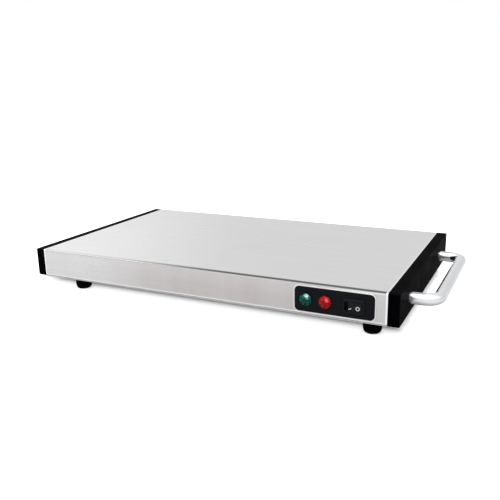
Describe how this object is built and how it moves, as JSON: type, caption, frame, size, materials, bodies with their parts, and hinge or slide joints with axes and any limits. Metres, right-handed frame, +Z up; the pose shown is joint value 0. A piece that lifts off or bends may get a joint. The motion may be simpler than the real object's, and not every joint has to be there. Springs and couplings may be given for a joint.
{
  "type": "warming tray",
  "caption": "Buffet warming tray: flat folded steel body between black end caps, with a bent tube handle, lamp and switch panel, rear mains inlet and rubber feet.",
  "frame": {"origin": "on the table, under the centre of the overall box in X and Y", "axes": "+X along the tray towards the carrying handle, the control panel faces -Y, +Z up"},
  "size_m": [0.4848, 0.273, 0.0461],
  "materials": {
    "brushed_steel_sheet": "brushed stainless sheet",
    "galvanised_sheet": "galvanised sheet",
    "cap_plastic": "black moulding with a fine grain",
    "panel_plastic": "black moulding, satin",
    "switch_plastic": "black, half gloss",
    "inlet_plastic": "black, satin",
    "foot_rubber": "black rubber",
    "grommet_rubber": "red silicone",
    "handle_chrome": "satin chrome",
    "zinc_steel": "zinc plated steel",
    "element_steel": "dark oxidised sheath",
    "green_lamp": "clear deep green",
    "red_lamp": "clear deep red",
    "bulb_glass": "clear glass",
    "contact_brass": "nickel plated brass",
    "spreader_aluminium": "rolled aluminium",
    "mat_fibre": "ceramic fibre",
    "white_ceramic": "white ceramic, opaque",
    "phenolic": "brown phenolic",
    "fuse_metal": "aluminium case",
    "brown_insulation": "brown",
    "blue_insulation": "blue",
    "earth_insulation": "green with a yellow stripe",
    "white_insulation": "white"
  },
  "bodies": {
    "tray": {"blue_wires": "blue_insulation", "bottom_plate": "galvanised_sheet", "brown_wires": "brown_insulation", "case_screws": "zinc_steel", "clamp_screws": "zinc_steel", "control_panel": "panel_plastic", "earth_fixings": "contact_brass", "earth_wire": "earth_insulation", "element_bushes": "white_ceramic", "element_clamps": "zinc_steel", "element_pins": "contact_brass", "fixing_screws": "zinc_steel", "foot_nuts": "zinc_steel", "foot_screws": "zinc_steel", "front_left_foot": "foot_rubber", "front_right_foot": "foot_rubber", "fuse_clip": "zinc_steel", "green_lens": "green_lamp", "handle_backing_plate": "zinc_steel", "handle_plugs": "zinc_steel", "handle_screws": "zinc_steel", "handle_tube": "handle_chrome", "heat_shield": "galvanised_sheet", "heat_spreader": "spreader_aluminium", "heating_element": "element_steel", "inlet_fixings": "zinc_steel", "inlet_pins": "contact_brass", "insulation_mat": "mat_fibre", "lamp_bulbs": "bulb_glass", "lamp_holders": "panel_plastic", "lamp_retainers": "zinc_steel", "lamp_tags": "contact_brass", "lamp_wires": "white_insulation", "left_end_cap": "cap_plastic", "mat_tray": "galvanised_sheet", "power_inlet": "inlet_plastic", "rear_left_foot": "foot_rubber", "rear_right_foot": "foot_rubber", "red_lens": "red_lamp", "reflector_sheet": "spreader_aluminium", "right_end_cap": "cap_plastic", "shield_grommets": "grommet_rubber", "shield_rivets": "zinc_steel", "stud_nuts": "zinc_steel", "stud_spacers": "zinc_steel", "switch_housing": "switch_plastic", "switch_tags": "contact_brass", "terminal_block": "white_ceramic", "terminal_clamps": "contact_brass", "thermal_fuse": "fuse_metal", "thermostat_body": "phenolic", "thermostat_bracket": "zinc_steel", "thermostat_cup": "spreader_aluminium", "thermostat_tags": "contact_brass", "top_shell": "brushed_steel_sheet", "washers": "zinc_steel", "weld_studs": "zinc_steel", "wire_ends": "white_insulation"},
    "rocker": {"switch_rocker": "switch_plastic", "switch_bridge": "contact_brass"}
  },
  "joints": [
    {"name": "rocker_tilt", "type": "hinge", "parent": "tray", "child": "rocker", "pos_m": [0.16362, -0.13095, 0.02825], "axis": [0, 0, 1], "range_deg": [0, 22]}
  ]
}
